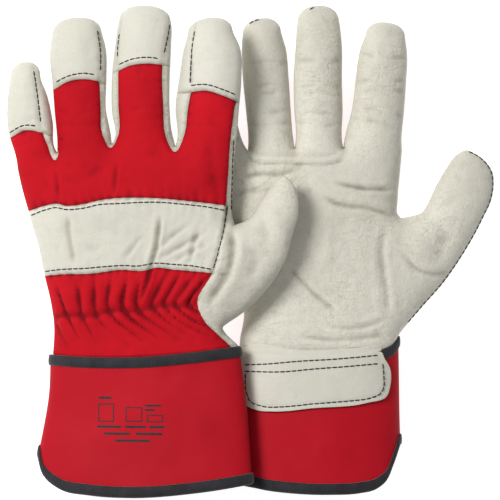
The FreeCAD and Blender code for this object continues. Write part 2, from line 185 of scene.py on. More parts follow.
RIGHT = Glove(
    side="right",
    back_up=False,
    digits=RIGHT_DIGITS,
    crotches=[(-26.8, 43), (-1.2, 55.2), (24.8, 56.3), (51.6, 56.3), (84.2, 55)],
    hand_edge=[(-6, -64), (-5.6, -50), (-3.4, -35), (-8, -18), (-16, 2), (-21.6, 20), (-25, 33),
               (-26.8, 43)],
    web=[(84.2, 55), (82.8, 40), (81.8, 28), (82, 19.5), (83.6, 17.6)],
    thumb=[(83.6, 17.6), (89, 18.6), (94.5, 20.4), (99.2, 27.4), (103.2, 35.9), (108.2, 44.4),
           (114.3, 52.6), (119.8, 55.4), (125.6, 53), (131, 48.6), (134.4, 43), (135, 36),
           (133.4, 27), (129.2, 18), (125, 9.6), (117.6, -3), (107.6, -17.6), (95, -32), (84.5, -44)],
    wrist=[(84.5, -44), (82.6, -46.6), (81.8, -49), (81.6, -56), (81.4, -64)],
    thumb_split=[(86.5, 27), (86.2, 12), (85.6, 0), (84.8, -30), (84.6, -56)],
    mid=lambda x, y: 16.0 - 3.4 * ramp_up(y, 20.0, 50.0) + 1.8 * ramp_up(-y, 28.0, 22.0),
    thickness=lambda x, y: 15.2 + 1.2 * ramp_up(y, 55.0, 20.0),
    strap_top=[(-30, 21), (0, 26.6), (34, 28), (66, 26), (90, 22.5)],
    strap_bottom=[(-22, -15.5), (5, -12), (38, -10), (66, -12), (96, -14.5)],
    wrist_edge=[(70, 26), (72, 8), (71, -12), (70, -28), (72, -45), (73, -66)],
    webs=[
        [(-20.6, 101), (-17.4, 90), (-12.4, 76), (-6.4, 62), (-1.2, 50.8), (1.6, 62), (0.6, 82),
         (-0.8, 100), (-1, 118)],
        [(13.4, 123), (17.4, 110), (19.4, 80), (20.8, 64), (24.8, 51.8), (28.4, 64), (27.8, 80),
         (27.4, 106), (29.6, 128)],
        [(46.4, 128), (48.2, 106), (48.4, 80), (48.8, 64), (51.8, 51.8), (57.2, 64), (59.8, 80),
         (61.6, 100), (66, 121)],
    ],
    side_seam=[(90, 88), (84, 80), (81.6, 66), (81, 48), (79.4, 36), (78.6, 22)],
    seeds={"palm": [(76, -4), (83, 45)], "knuckle_strap": [(30, 8)], "wrist_panel": [(30, -25)],
           "thumb": [(105, 10)]},
    creases=[
        ([(46, 37), (52, 35.9), (61.6, 34.1), (81.9, 33.4)], 1.1, 1.5),
        ([(39.6, 29.5), (49.3, 25.3), (66.9, 22.7), (81, 18.3)], 0.9, 1.7),
        ([(-6, 40), (6, 42), (17.6, 42), (29, 46.4)], 0.8, 1.8),
        ([(-14, 30), (4, 33), (20, 31)], 0.5, 2.4),
        ([(20.3, -8), (29, -17.7), (37.9, -26.5), (49.3, -34.4)], 0.7, 1.5),
        ([(76, 14), (73, 6), (72.2, -2), (73.1, -12), (75.2, -26), (75.7, -38)], 0.6, 2.2),
        ([(83.6, -1.9), (92.5, -10.7), (103.9, -13.3), (112, -11)], 0.7, 1.6),
        ([(107, 14), (104, 0), (98, -8)], 0.9, 5.5),
        ([(24, -47.6), (53, -49), (76, -46.2)], 0.6, 1.6),
        ([(40, -42), (60, -42.5), (78, -37)], 0.5, 1.4),
        ([(24, 18), (33, 4), (31, -12)], 0.4, 5),
        ([(98, 20), (110, 27), (124, 31)], 0.35, 3),
    ],
    cuff=Cuff(
        left=[(-8, -52), (-9.5, -76), (-11, -100), (-11.9, -116), (-12.3, -130)],
        right=[(82, -44), (82.4, -70), (82.8, -95), (83.2, -108), (83.4, -128)],
        top=[(-9, -59), (20, -60), (50, -58.6), (72, -55.8), (79, -52.6), (82.6, -47.4)],
        hem=[(-11.8, -116), (-9, -126), (4, -130), (22, -132.4), (44, -133.2), (60.7, -132.4),
             (69, -130.6), (74.6, -126.6), (78.6, -118), (82.6, -106.5)],
        mid=lambda x, y: 17.8,
        half=16,
        square=2.1,
        dimples=[(22, -104, 16, 1), (58, -108, 12, 0.8)],
    ),
    patch=[(-3.6, -54.5), (30, -55), (60, -53.6), (71.6, -52.6), (73, -59), (75.8, -64), (76, -76),
           (74.6, -80.2), (63.4, -84), (35.2, -86.7), (13.2, -88.6), (4.4, -88), (-2.4, -84.6),
           (-4.4, -76)],
)

# The raised seam at the root of the right glove's fingers, in plan.
WELT = [(0, 53.5), (2.6, 51), (6.6, 50.2), (27.6, 49.7), (46, 50.2), (50, 51.6), (51.3, 55.2)]

# Lines of thread on the side that faces up, in plan: those of the hand, and those of each digit.
STITCHES = {
    "left": {
        "hand": [
            [(-121, 19.1), (-111.6, 22.4), (-107.2, 23.3), (-101, 22.2), (-92.2, 22.8), (-81.7, 25),
             (-72.9, 25.4), (-50, 26.1), (-36.8, 25), (-23.6, 23.5), (-12.8, 21.4)],
            [(-113.2, -11.8), (-102.8, -10.6), (-92.2, -10.2), (-81.7, -9.3), (-70.2, -8.5),
             (-59.7, -8.6), (-53.5, -7.3), (-41.2, -7.9), (-32.3, -8.6), (-20.5, -10.6)],
            [(-12.3, 24), (-14.6, 10), (-17.6, -2), (-20.8, -12.2)],
            [(-12.3, 16.6), (-10.4, 16.9)],
            [(-8.9, 60), (-9.8, 44), (-10.1, 32), (-10.4, 21)],
        ],
        "little": [[(-133, 64.9), (-124.8, 68.8), (-116, 68.2)],
                   [(-119.6, 99), (-117.2, 84), (-115.4, 70)]],
        "ring": [[(-107, 92.6), (-100.1, 95.7), (-91.4, 97.2), (-83.2, 95.9)],
                 [(-84.2, 121), (-82.4, 108), (-82.5, 97)]],
        "middle": [[(-72, 101.9), (-65.8, 104.4), (-56.1, 105.6), (-48.2, 104.6)],
                   [(-44.2, 124), (-44.8, 119), (-46.6, 111), (-47.6, 106)],
                   [(-71.8, 119), (-72.6, 112), (-72.8, 104)]],
        "index": [[(-32.4, 90), (-24.4, 90.4), (-14.7, 87.5), (-6.8, 84.4)],
                  [(-30.2, 120), (-31.5, 111.6), (-32.5, 98), (-32.8, 91)]],
    },
    "right": {
        "ring": [[(-0.4, 125.2), (3, 127), (7, 127.6)]],
        "middle": [[(33, 133), (35.6, 134.3), (38, 134.8)]],
        "thumb": [[(121, 54.4), (126, 51.9), (130.4, 48), (133.6, 42.6), (134.2, 36), (132.6, 27.2),
                   (128.5, 18.3), (124.3, 10), (116.9, -2.6), (107, -17), (94.6, -31.2), (86.5, -40.6)]],
    },
}
PATCH_STITCHES = {
    "right": [
        [(-3, -63.2), (8.8, -62.6), (26.4, -61), (44, -60), (72, -57.7)],
        [(-3, -66.7), (17.6, -66.8), (35.2, -65.2), (52.8, -63.9), (72, -62.3)],
        [(72.9, -62.5), (73.5, -69.5), (73.2, -76.2), (71.4, -79), (66.9, -81), (52.8, -82.9),
         (35.2, -84.3), (17.6, -86), (7, -85.8), (0.2, -83), (-2, -78), (-2.4, -68)],
    ],
    "left": [
        [(-98, -65.6), (-60, -66.6), (-24, -63.6)],
        [(-24.4, -64), (-22, -79), (-25.4, -81.8), (-60, -85.4), (-94.6, -82.6), (-98.2, -79),
         (-98, -66)],
    ],
}

# Plain bars printed on the left cuff, as (left, bottom, right, top).
PRINT = [(-83, -81.6, -76, -80.4), (-57.6, -85.6, -48.6, -84.6), (-57.6, -88, -52, -87),
         (-84, -97.4, -70.6, -96.2), (-68.4, -97.4, -57, -96.2), (-55, -97.4, -47, -96.2),
         (-80, -101.2, -66, -100), (-62.6, -101.2, -48, -100), (-74, -105, -55, -103.8)]
PRINT_BOXES = [(-83.4, -94.2, -74.6, -84.2), (-68.2, -94, -59, -86), (-56.4, -94.2, -47.6, -90.2)]
PRINT_LINE = 0.55     # thickness of the boxes' lines
PRINT_GRID = 1.2      # spacing of points over a bar

# ---- curves
def resample(line, step, closed=False):
    """Evenly spaced points along a polyline."""
    line = np.asarray(line, float)
    if closed:
        line = np.vstack([line, line[:1]])
    at = np.concatenate([[0.0], np.cumsum(np.linalg.norm(np.diff(line, axis=0), axis=1))])
    count = max(2, int(round(at[-1] / step)))
    want = np.linspace(0, at[-1], count + 1)
    out = np.stack([np.interp(want, at, line[:, k]) for k in range(line.shape[1])], axis=1)
    return out[:-1] if closed else out


def smooth(points, step=STEP, closed=False):
    """A smooth curve through the points, evenly sampled."""
    p = np.asarray(points, float)
    if closed:
        p = np.vstack([p[-1:], p, p[:2]])
    else:
        p = np.vstack([2 * p[:1] - p[1:2], p, 2 * p[-1:] - p[-2:-1]])
    gap = np.maximum(np.linalg.norm(np.diff(p, axis=0), axis=1), 1e-6)
    slope = np.diff(p, axis=0) / gap[:, None]
    tangent = (slope[:-1] * gap[1:, None] + slope[1:] * gap[:-1, None]) / (gap[:-1] + gap[1:])[:, None]
    line = []
    for i in range(len(tangent) - 1):
        a, b, span = p[i + 1], p[i + 2], gap[i + 1]
        t = np.linspace(0, 1, 24, endpoint=False)[:, None]
        h = (2 * t**3 - 3 * t**2 + 1, t**3 - 2 * t**2 + t, -2 * t**3 + 3 * t**2, t**3 - t**2)
        line.append(h[0] * a + h[1] * span * tangent[i] + h[2] * b + h[3] * span * tangent[i + 1])
    line.append(p[-2:-1])
    return resample(np.vstack(line), step, closed)


def run_on(points, further=5.0):
    """The same points with a straight run added at each end."""
    p = np.asarray(points, float)
    first, last = p[0] - p[1], p[-1] - p[-2]
    before = p[0] + first / np.linalg.norm(first) * further
    after = p[-1] + last / np.linalg.norm(last) * further
    return np.vstack([before, p, after])


class Finger:
    """Places on a digit by distance along its centre line and across it."""

    def __init__(self, digit):
        self.digit = digit
        s = np.array(digit.stations)
        ends = np.vstack([s[:, :2], [digit.tip]])
        self.line = smooth(ends, 0.5)
        self.at = np.concatenate([[0.0], np.cumsum(np.linalg.norm(np.diff(self.line, axis=0), axis=1))])
        self.length = self.at[-1]
        near = [np.argmin(np.linalg.norm(self.line - c, axis=1)) for c in s[:, :2]]
        self.station_at = self.at[near]
        self.half_at = s[:, 2]

    def centre(self, s):
        on_line = np.array([np.interp(s, self.at, self.line[:, k]) for k in (0, 1)])
        before = min(s, 0.0) / self.at[1]
        return on_line + (self.line[1] - self.line[0]) * before

    def across(self, s):
        forward = self.centre(min(s + 2.0, self.length)) - self.centre(min(s, self.length - 4.0) - 2.0)
        forward /= np.linalg.norm(forward)
        return np.array([forward[1], -forward[0]])

    def half(self, s):
        return float(np.interp(s, self.station_at, self.half_at))

    def place(self, s, t):
        return self.centre(s) + self.across(s) * t

    def outline(self):
        """Points up the left side, round the tip and down the right side."""
        last = self.station_at[-1]
        left = [self.place(s, -self.half(s)) for s in self.station_at]
        right = [self.place(s, self.half(s)) for s in self.station_at[::-1]]
        tip = []
        for turn in (25, 48, 70, 90, 110, 132, 155):
            c, s = math.cos(math.radians(turn)), math.sin(math.radians(turn))
            wide = -math.copysign(abs(c) ** 0.84, c) * self.half(last)
            tip.append(self.place(last, wide) + (self.centre(self.length) - self.centre(last)) * s**0.9)
        return left + tip + right

    def base_line(self):
        """The line across the digit's base where it starts to turn."""
        half = self.half(0.0) + 4.0
        return [self.place(-0.5, -half), self.place(-0.5, 0.0), self.place(-0.5, half)]


def glove_outline(glove):
    """The edge of hand, fingers and thumb, corner by corner, and the open end at the cuff."""
    parts = [smooth(glove.hand_edge)]
    for i, digit in enumerate(glove.digits.values()):
        loop = [glove.crotches[i]] + Finger(digit).outline() + [glove.crotches[i + 1]]
        parts.append(smooth(loop))
    parts += [smooth(glove.web), smooth(glove.thumb), smooth(glove.wrist)]
    line = np.vstack([p[:-1] for p in parts] + [parts[-1][-1:]])
    opening = resample([line[-1], line[0]], STEP)
    return line, opening[1:-1]


# ---- skin in plan
def inside(points, polygon):
    """Which points lie in the polygon."""
    x, y = points[:, 0], points[:, 1]
    hit = np.zeros(len(points), bool)
    for a, b in zip(polygon, np.roll(polygon, -1, axis=0)):
        crosses = (a[1] > y) != (b[1] > y)
        if crosses.any():
            at = (b[0] - a[0]) * (y[crosses] - a[1]) / (b[1] - a[1]) + a[0]
            hit[crosses] ^= x[crosses] < at
    return hit


def tree_of(points):
    tree = kdtree.KDTree(len(points))
    for i, p in enumerate(points):
        tree.insert((p[0], p[1], 0.0), i)
    tree.balance()
    return tree


def offset_ring(line, inset):
    """Points inset from a closed line that runs clockwise."""
    forward = np.roll(line, -1, axis=0) - np.roll(line, 1, axis=0)
    forward /= np.maximum(np.linalg.norm(forward, axis=1), 1e-9)[:, None]
    return line + inset * np.stack([forward[:, 1], -forward[:, 0]], axis=1)


def triangulate(edge, opening, lines):
    """Triangles over the outline that follow every line.  Returns points, triangles, and for each
    line the set of mesh edges along it."""
    ring = np.vstack([edge, opening])
    fixed = [ring] + lines
    points, edges, owner = [], [], []
    for which, line in enumerate(fixed):
        first = len(points)
        points += [tuple(p) for p in line]
        last = len(points) - 1
        edges += [(i, i + 1) for i in range(first, last)]
        owner += [which] * (last - first)
        if which == 0:
            edges.append((last, first))
            owner.append(0)
    taken = tree_of(np.array(points))
    low, high = ring.min(axis=0), ring.max(axis=0)
    rows = np.arange(low[1], high[1], STEP * 0.866)
    columns = np.arange(low[0], high[0], STEP)
    grid = [(x + (STEP / 2 if i % 2 else 0.0), y) for i, y in enumerate(rows) for x in columns]
    free = []
    for inset, clear in ((0.35, 0.3), (1.0, 0.5)):
        loop = offset_ring(ring, inset)
        for p in loop[inside(loop, ring)]:
            if taken.find((p[0], p[1], 0.0))[2] > clear:
                free.append(tuple(p))
    near = tree_of(np.array(points + free))
    grid = np.array(grid)
    for p in grid[inside(grid, ring)]:
        if near.find((p[0], p[1], 0.0))[2] > STEP * 0.62:
            free.append(tuple(p))
    everything = [Vector(p) for p in points + free]
    verts, made, faces, _, from_edges, _ = delaunay_2d_cdt(everything, edges, [], 1, 1e-5)
    along = [set() for _ in fixed]
    for pair, sources in zip(made, from_edges):
        for source in sources:
            if source < len(owner):
                along[owner[source]].add(tuple(sorted(pair)))
    verts, faces = np.array([tuple(v) for v in verts]), np.array([f for f in faces if len(f) == 3])
    return verts, faces[inside(verts[faces].mean(axis=1), ring)], along


def regions(faces, barriers):
    """Numbers the connected patches of triangles that the barrier edges leave."""
    by_edge = {}
    for f, tri in enumerate(faces):
        for k in range(3):
            pair = tuple(sorted((int(tri[k]), int(tri[(k + 1) % 3]))))
            if pair not in barriers:
                by_edge.setdefault(pair, []).append(f)
    neighbours = [[] for _ in faces]
    for pair in by_edge.values():
        if len(pair) == 2:
            neighbours[pair[0]].append(pair[1])
            neighbours[pair[1]].append(pair[0])
    label = -np.ones(len(faces), int)
    count = 0
    for start in range(len(faces)):
        if label[start] >= 0:
            continue
        label[start] = count
        stack = [start]
        while stack:
            for other in neighbours[stack.pop()]:
                if label[other] < 0:
                    label[other] = count
                    stack.append(other)
        count += 1
    return label


SOLVER_TURNS = 600    # most steps that the solver of a glove's height may take
SOLVER_LIMIT = 1e-6   # error at which it stops


def inflate(points, faces, closed_edge):
    """Height from 0 at the closed edge to 1 in the wide middle, rounded like a filled bag.

    It solves height - SOFTNESS^2 * curvature = 1 over the triangles by conjugate gradients.
    """
    n = len(points)
    mass = np.zeros(n)
    rows, cols, weights = [], [], []
    a, b, c = (points[faces[:, k]] for k in range(3))
    ab, ac = b - a, c - a
    area = 0.5 * np.abs(ab[:, 0] * ac[:, 1] - ab[:, 1] * ac[:, 0])
    for k in range(3):
        i, j, o = faces[:, k], faces[:, (k + 1) % 3], faces[:, (k + 2) % 3]
        u, v = points[i] - points[o], points[j] - points[o]
        cot = (u * v).sum(axis=1) / np.maximum(2 * area, 1e-9)
        rows += [i, j]
        cols += [j, i]
        weights += [0.5 * cot, 0.5 * cot]
        mass += np.bincount(i, area / 3, n)
    rows, cols, weights = np.concatenate(rows), np.concatenate(cols), np.concatenate(weights)
    diagonal = np.bincount(rows, weights, n)
    free = np.ones(n)
    free[list(closed_edge)] = 0.0
    reach = SOFTNESS**2

    def apply(x):
        x = x * free
        return free * (mass * x + reach * (diagonal * x - np.bincount(rows, weights * x[cols], n)))

    target = mass * free
    x, r = np.zeros(n), target.copy()
    scale = 1.0 / np.maximum(mass + reach * diagonal, 1e-9)
    z = r * scale
    p = z.copy()
    rz = r @ z
    for _ in range(SOLVER_TURNS):
        ap = apply(p)
        alpha = rz / (p @ ap)
        x += alpha * p
        r -= alpha * ap
        if np.abs(r).max() < SOLVER_LIMIT:
            break
        z = r * scale
        rz, old = r @ z, rz
        p = z + (rz / old) * p
    return np.sqrt(np.clip(x, 0, None))


def vertex_normals(points, faces):
    a, b, c = (points[faces[:, k]] for k in range(3))
    flat = np.cross(b - a, c - a)
    out = np.zeros_like(points)
    for k in range(3):
        for axis in range(3):
            out[:, axis] += np.bincount(faces[:, k], flat[:, axis], len(points))
    return out / np.maximum(np.linalg.norm(out, axis=1), 1e-12)[:, None]


def bell(gap, width, power=2):
    """1 on a line, falling smoothly to almost 0 at twice the width from it."""
    return np.exp(-((gap / width) ** power))


def wander(points, scale, seed, detail=3):
    """Smooth noise from about -1 to 1 at each point."""
    shift = Vector((seed * 17.3, seed * -9.1, seed * 3.7))
    return np.array([
        noise.fractal(Vector((p[0], p[1], p[2] if len(p) > 2 else 0.0)) / scale + shift, 0.9, 2.1, detail)
        for p in points
    ])


FULL_SHADE = 1.1      # depth of a fold that is as dark as it gets


def valleys(push, faces, spread=14):
    """How deep each point lies below the surface around it, from 0 to 1."""
    n = len(push)
    around = push.copy()
    i, j = faces.ravel(), np.roll(faces, -1, axis=1).ravel()
    count = np.bincount(i, minlength=n) + np.bincount(j, minlength=n)
    for _ in range(spread):
        around = (np.bincount(i, around[j], n) + np.bincount(j, around[i], n)) / np.maximum(count, 1)
    return np.clip((around - push) / FULL_SHADE, 0, 1)


# ---- making objects
def whole(faces):
    """Faces as tuples of plain whole numbers."""
    return [tuple(int(i) for i in f) for f in faces]


def add_object(name, verts, faces, material, slot):
    name += "_look"
    mesh = bpy.data.meshes.new(name)
    mesh.from_pydata([tuple(v) for v in np.asarray(verts) * MM], [], whole(faces))
    mesh.polygons.foreach_set("use_smooth", [True] * len(mesh.polygons))
    mesh.materials.append(material)
    mesh.update()
    obj = bpy.data.objects.new(name, mesh)
    bpy.context.scene.collection.objects.link(obj)
    return obj


def grid_faces(rows, columns, first=0):
    """Two triangles for each cell of a grid of points that is numbered row by row."""
    faces = []
    for i in range(rows - 1):
        for k in range(columns - 1):
            a = first + i * columns + k
            faces += [(a, a + 1, a + columns + 1), (a, a + columns + 1, a + columns)]
    return faces


def border_of(faces):
    """Directed edges that only one face uses."""
    seen = dict.fromkeys((int(f[k]), int(f[(k + 1) % len(f)])) for f in faces for k in range(len(f)))
    return [(a, b) for a, b in seen if (b, a) not in seen]


def skin_piece(name, points, normals, faces, material, slot, thickness=SKIN, crease=None):
    """A panel of some thickness, with the whole glove's smooth shading outside."""
    used = np.unique(faces)
    new = -np.ones(len(points), int)
    new[used] = np.arange(len(used))
    outer, n = points[used], normals[used]
    local = new[faces]
    count = len(used)
    verts = np.vstack([outer, outer - n * thickness])
    polys = [tuple(f) for f in local] + [tuple(f[::-1] + count) for f in local]
    polys += [(b, a, a + count, b + count) for a, b in border_of(local)]
    obj = add_object(name, verts, polys, material, slot)
    obj.data.normals_split_custom_set_from_vertices([tuple(v) for v in np.vstack([n, -n])])
    # The crease attribute holds how much painted shade each point gets.
    if crease is not None:
        shade = obj.data.attributes.new("crease", "FLOAT", "POINT")
        shade.data.foreach_set("value", np.concatenate([crease[used], np.zeros(count)]).astype(np.float32))
    return obj


# ---- materials
BLACK, WHITE = (0.0, 0.0, 0.0), (1.0, 1.0, 1.0)
PEBBLE = 1.5          # size of one pebble of the leather's grain


class Paint:
    """Short names for building one node material."""

    def __init__(self, name, roughness, sheen=0.0, gloss=0.3):
        self.material = bpy.data.materials.new(name)
        self.material.use_nodes = True
        self.nodes = self.material.node_tree.nodes
        self.links = self.material.node_tree.links
        self.shader = self.nodes["Principled BSDF"]
        self.shader.inputs["Roughness"].default_value = roughness
        self.shader.inputs["Specular IOR Level"].default_value = gloss
        self.shader.inputs["Sheen Weight"].default_value = sheen
        self.place = self.nodes.new("ShaderNodeTexCoord").outputs["Object"]
        self.height = None

    def node(self, kind, inputs=(), **settings):
        made = self.nodes.new("ShaderNode" + kind)
        for key, value in settings.items():
            setattr(made, key, value)
        for key, value in dict(inputs).items():
            socket = made.inputs[key]
            if isinstance(value, bpy.types.NodeSocket):
                self.links.new(value, socket)
            else:
                socket.default_value = (*value, 1.0) if socket.type == "RGBA" else value
        return made

    def cloud(self, size_mm, detail=4.0, roughness=0.55, stretch=None):
        place = self.place
        if stretch:
            place = self.node("Mapping", {"Vector": place, "Scale": stretch}).outputs["Vector"]
        inputs = {"Vector": place, "Scale": 1000.0 / size_mm, "Detail": detail, "Roughness": roughness}
        return self.node("TexNoise", inputs).outputs["Fac"]

    def ramp(self, value, stops):
        made = self.node("ValToRGB", {"Fac": value})
        ramp = made.color_ramp
        while len(ramp.elements) < len(stops):
            ramp.elements.new(0.5)
        for element, (at, colour) in zip(ramp.elements, stops):
            element.position = at
            element.color = (*colour, 1.0)
        return made.outputs["Color"]

    def mottle(self, size_mm, detail, dark, light, low=0.3, high=0.7):
        """A cloudy mix of two colours."""
        return self.ramp(self.cloud(size_mm, detail), [(low, dark), (high, light)])

    def mix(self, amount, a, b, mode="MIX"):
        return self.node("Mix", {0: amount, 6: a, 7: b}, data_type="RGBA", blend_type=mode).outputs[2]

    def maths(self, operation, a, b=0.0):
        return self.node("Math", {0: a, 1: b}, operation=operation).outputs[0]

    def bump(self, height, depth_mm, strength=1.0):
        inputs = {"Height": height, "Distance": depth_mm * MM, "Strength": strength}
        if self.height is not None:
            inputs["Normal"] = self.height
        self.height = self.node("Bump", inputs).outputs["Normal"]

    def finish(self, colour):
        self.links.new(colour, self.shader.inputs["Base Color"])
        if self.height is not None:
            self.links.new(self.height, self.shader.inputs["Normal"])
        return self.material


def weave(paint, rib_mm, angle):
    """Parallel ribs in plan.  A wave texture repeats every 2 pi / 20 of its own units."""
    turned = paint.node("Mapping", {"Vector": paint.place, "Rotation": (0.0, 0.0, angle)}).outputs["Vector"]
    inputs = {"Vector": turned, "Scale": 1000.0 / rib_mm / 20.0 * 3.1416}
    inputs |= {"Distortion": 0.6, "Detail": 1.0, "Detail Scale": 2.0}
    return paint.node("TexWave", inputs, wave_profile="SIN").outputs["Fac"]


def darken(p, colour, deep, shadow):
    """Painted shade in the folds that the mesh marks as its creases, mixed towards a dark shadow colour."""
    mark = p.node("Attribute", attribute_name="crease").outputs["Fac"]
    return p.mix(p.maths("MULTIPLY", p.ramp(mark, [(0.05, BLACK), (0.8, WHITE)]), deep), colour, shadow)


LEATHER_CREASES = [   # size in mm, how the creases are stretched, and how deep they are in mm
    (15.0, (1.0, 2.6, 1.0), 0.22),
    (8.0, (2.2, 1.0, 1.0), 0.12),
    (4.5, (1.0, 1.3, 1.0), 0.07),
]


def leather_material(name, dark, light, grain):
    """Off-white leather: a fine pebbled grain, long creases where it has been worn with painted shade along
    them, and painted shade in the mesh's folds.
    """
    p = Paint(name, 0.55, sheen=0.04)
    colour = p.mottle(60.0, 2.0, dark, light)
    worn = p.mottle(30.0, 2.0, (0.15, 0.15, 0.15), (0.75, 0.75, 0.75), 0.36, 0.66)
    amount = p.maths("MULTIPLY", worn, grain)
    for size, stretch, depth in LEATHER_CREASES:
        ridge = p.maths("ABSOLUTE", p.maths("SUBTRACT", p.cloud(size, 2.0, 0.5, stretch), 0.5))
        line = p.ramp(ridge, [(0.0, BLACK), (0.05, WHITE)])
        p.bump(p.mix(amount, WHITE, line), depth)
        # Painted shade: each crease line is also darker in colour.
        shade = p.mix(line, (0.93, 0.92, 0.88), WHITE)
        colour = p.mix(amount, colour, p.mix(1.0, colour, shade, "MULTIPLY"))
    cells = p.node("TexVoronoi", {"Vector": p.place, "Scale": 1000.0 / PEBBLE}, feature="DISTANCE_TO_EDGE")
    p.bump(p.maths("MINIMUM", cells.outputs["Distance"], 0.25), 0.35 * grain, 0.8)
    p.bump(p.cloud(0.7, 3.0), 0.08, 0.6)
    fine = p.mottle(1.3, 3.0, (0.94, 0.935, 0.92), WHITE, 0.35, 0.65)
    colour = p.mix(grain, colour, p.mix(1.0, colour, fine, "MULTIPLY"))
    return p.finish(darken(p, colour, 0.75, (0.20, 0.18, 0.13)))


def cotton_material():
    p = Paint("red_cotton", 0.8, gloss=0.1)
    base = p.mottle(45.0, 3.0, (0.38, 0.003, 0.009), (0.49, 0.005, 0.013))
    rib = weave(p, 0.7, 0.9)
    thread = p.ramp(rib, [(0.2, (0.90, 0.88, 0.88)), (0.7, WHITE)])
    colour = p.mix(0.6, base, thread, "MULTIPLY")
    p.bump(p.cloud(14.0, 3.0), 0.35)
    p.bump(rib, 0.05, 0.5)
    p.bump(p.cloud(0.6, 2.0), 0.05, 0.6)
    # Painted shade in the mesh's folds, towards a dark red.
    return p.finish(darken(p, colour, 0.85, (0.10, 0.002, 0.005)))


def canvas_material():
    p = Paint("cuff_canvas", 0.62, gloss=0.12)
    base = p.mottle(55.0, 3.0, (0.36, 0.003, 0.010), (0.44, 0.004, 0.013))
    colour = p.mix(0.7, base, p.mottle(0.8, 2.0, (0.90, 0.88, 0.88), WHITE), "MULTIPLY")
    p.bump(p.cloud(25.0, 2.0), 0.4)
    p.bump(p.cloud(0.7, 2.0), 0.05, 0.6)
    return p.finish(colour)


def tape_material():
    p = Paint("black_tape", 0.75, sheen=0.2)
    rib = weave(p, 0.8, 0.0)
    base = p.mottle(9.0, 4.0, (0.006, 0.006, 0.008), (0.022, 0.022, 0.028), 0.3, 0.75)
    colour = p.mix(0.5, base, p.ramp(rib, [(0.2, (0.6, 0.6, 0.6)), (0.8, WHITE)]), "MULTIPLY")
    p.bump(rib, 0.12, 0.7)
    p.bump(p.cloud(1.0, 2.0), 0.08, 0.7)
    return p.finish(colour)


def thread_material():
    p = Paint("black_thread", 0.6)
    colour = p.mottle(0.8, 2.0, (0.004, 0.004, 0.005), (0.02, 0.02, 0.024))
    p.bump(p.cloud(0.4, 2.0), 0.05)
    return p.finish(colour)


def elastic_material():
    p = Paint("elastic", 0.8, sheen=0.1)
    rib = weave(p, 1.2, 0.0)
    colour = p.ramp(rib, [(0.2, (0.60, 0.58, 0.55)), (0.8, (0.75, 0.74, 0.70))])
    p.bump(rib, 0.2)
    return p.finish(colour)


def lining_material():
    p = Paint("lining_cotton", 0.9, sheen=0.3)
    colour = p.mottle(3.0, 4.0, (0.62, 0.60, 0.54), (0.78, 0.76, 0.70))
    p.bump(p.cloud(0.8, 3.0), 0.15)
    return p.finish(colour)


LEATHER = leather_material("leather", (0.51, 0.495, 0.42), (0.59, 0.575, 0.495), 0.4)
PALM_LEATHER = leather_material("palm_leather", (0.53, 0.51, 0.435), (0.64, 0.62, 0.54), 1.0)
COTTON, CANVAS, TAPE = cotton_material(), canvas_material(), tape_material()
THREAD, LINING, ELASTIC = thread_material(), lining_material(), elastic_material()


# ---- the cuff
WALL = 1.4            # thickness of the cuff's canvas
CUFF_AROUND = 260     # points round a cuff
CUFF_DOWN = 44        # rows of points down it
# Sections of the tapes: how far up the cuff from its end, and how far out from its wall.
TAPE_OVER_SEAM = [(0.6, -3.2), (0.7, -0.7), (0.9, 0.1), (0.5, 0.8), (-0.6, 1.0), (-2.6, 1.1),
                  (-4.4, 0.95), (-5.0, 0.6), (-5.1, 0.05), (-2.6, 0.05), (0.0, 0.05), (0.0, -0.7),
                  (-0.2, -3.2)]
TAPE_OVER_HEM = [(5.0, 0.05), (4.9, 0.7), (3.5, 0.95), (1.2, 0.95), (-0.5, 0.75), (-1.1, 0.0),
                 (-1.3, -0.7), (-1.1, -1.4), (-0.5, -2.1), (1.2, -2.35), (3.5, -2.35), (4.9, -2.1),
                 (5.0, -1.45), (2.0, -1.45), (0.0, -1.42), (-0.12, -0.7), (0.0, 0.02), (2.0, 0.05)]


